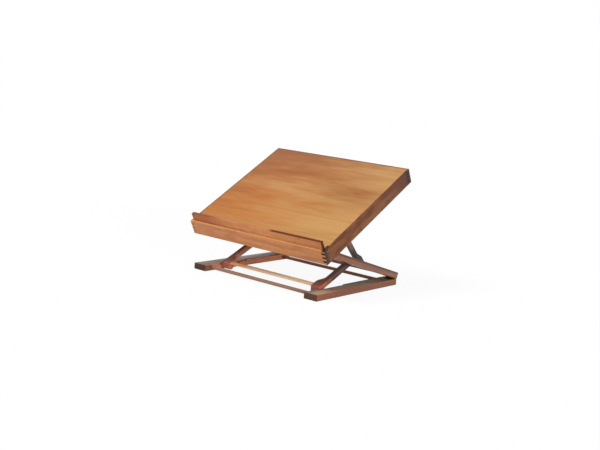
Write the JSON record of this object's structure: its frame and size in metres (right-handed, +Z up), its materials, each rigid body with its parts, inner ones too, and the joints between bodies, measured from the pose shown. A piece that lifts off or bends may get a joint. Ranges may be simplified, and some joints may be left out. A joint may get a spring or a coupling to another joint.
{
  "type": "tabletop lectern",
  "caption": "Folding wooden tabletop lectern: a tilting desk with a ledge on a Z-shaped stand of two hinged frames with notched racks.",
  "frame": {"origin": "under the middle of the lectern, on the table", "axes": "+X across the desk to the reader's right, +Y from the reader to the rear, +Z up"},
  "size_m": [0.5, 0.4266, 0.3592],
  "materials": {
    "desk_wood": "satin",
    "ledge_wood": "satin",
    "frame_wood": "satin",
    "pale_wood": "satin",
    "brass": "satin",
    "steel": "brushed"
  },
  "bodies": {
    "base": {"base_rail_left": "frame_wood", "base_rail_right": "frame_wood", "base_front_bar": "pale_wood", "base_rear_bar": "frame_wood", "hinge_base_leaves": "brass", "hinge_base_screws": "brass", "hinge_pins": "steel"},
    "middle_frame": {"middle_rail_left": "frame_wood", "middle_rail_right": "frame_wood", "middle_front_bar": "frame_wood", "middle_rear_bar": "frame_wood", "hinge_middle_leaves": "brass", "hinge_middle_screws": "brass", "strut_pivot_bolts": "steel", "strut_spacers": "steel", "desk_pivot_pins": "steel", "desk_spacers": "steel"},
    "front_strut": {"strut_arm_left": "frame_wood", "strut_arm_right": "frame_wood", "strut_slat": "pale_wood", "strut_pegs": "pale_wood"},
    "desk": {"desk_front_rail": "desk_wood", "desk_rear_rail": "desk_wood", "desk_side_left": "desk_wood", "desk_side_right": "desk_wood", "desk_panel": "desk_wood", "ledge": "ledge_wood", "prop_cleat_left": "frame_wood", "prop_cleat_right": "frame_wood", "prop_pivot_bolts": "steel", "prop_spacers": "steel"},
    "rear_prop": {"prop_arm_left": "frame_wood", "prop_arm_right": "frame_wood", "prop_cross_bar": "frame_wood", "prop_rod": "pale_wood"}
  },
  "joints": [
    {"name": "frame_lift", "type": "hinge", "parent": "base", "child": "middle_frame", "pos_m": [0, 0.21109, 0.0185], "axis": [-1, 0, 0], "range_deg": [-12, 23.4]},
    {"name": "front_strut_swing", "type": "hinge", "parent": "middle_frame", "child": "front_strut", "pos_m": [0, 0.0268, 0.0805], "axis": [1, 0, 0], "range_deg": [-29.3, 56.66]},
    {"name": "desk_tilt", "type": "hinge", "parent": "middle_frame", "child": "desk", "pos_m": [0, -0.16839, 0.13555], "axis": [1, 0, 0], "range_deg": [-44.95, 5]},
    {"name": "prop_swing", "type": "hinge", "parent": "desk", "child": "rear_prop", "pos_m": [0, -0.04269, 0.2058], "axis": [-1, 0, 0], "range_deg": [-75.12, 8.8]}
  ],
  "couplings": [
    {"joint": "front_strut_swing", "follows": "frame_lift", "ratio": 2.4},
    {"joint": "prop_swing", "follows": "desk_tilt", "ratio": 1.66}
  ]
}
